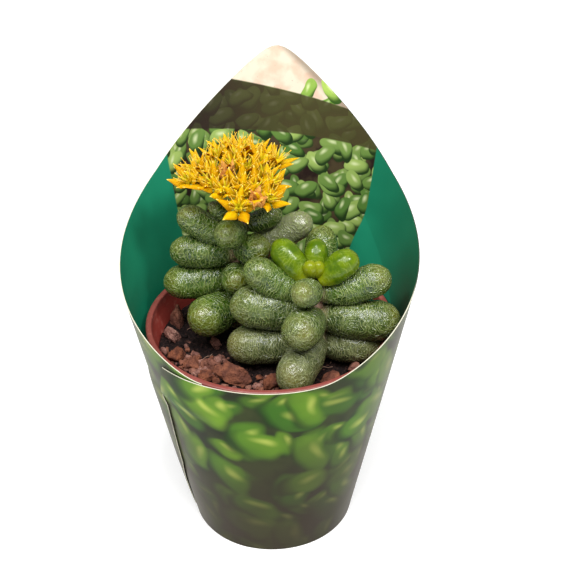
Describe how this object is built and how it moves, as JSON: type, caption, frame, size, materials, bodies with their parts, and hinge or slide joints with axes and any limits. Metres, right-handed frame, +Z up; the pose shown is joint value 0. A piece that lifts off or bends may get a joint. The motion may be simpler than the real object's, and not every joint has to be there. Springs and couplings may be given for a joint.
{
  "type": "potted sedum in a card sleeve",
  "caption": "Flowering sedum with plump leaves and a domed yellow flower head, in a small tapered plastic pot inside a conical card sleeve with a tall pointed back.",
  "frame": {"origin": "centre of the pot's underside, on the surface that the pot stands on", "axes": "+Z up along the pot's axis; -Y towards the open front of the sleeve; +Y towards its tall back"},
  "size_m": [0.0766, 0.0815, 0.1189],
  "materials": {
    "red_plastic": "satin",
    "peat": "matte",
    "mature_leaf": "satin",
    "young_leaf": "gloss",
    "yellow_petal": "matte",
    "printed_card": "satin"
  },
  "bodies": {
    "root": {"pot": "red_plastic", "soil": "peat", "rosette_stem": "mature_leaf", "young_leaves": "young_leaf", "flowering_stem": "mature_leaf", "flower_head": "yellow_petal", "sleeve": "printed_card"}
  },
  "joints": []
}
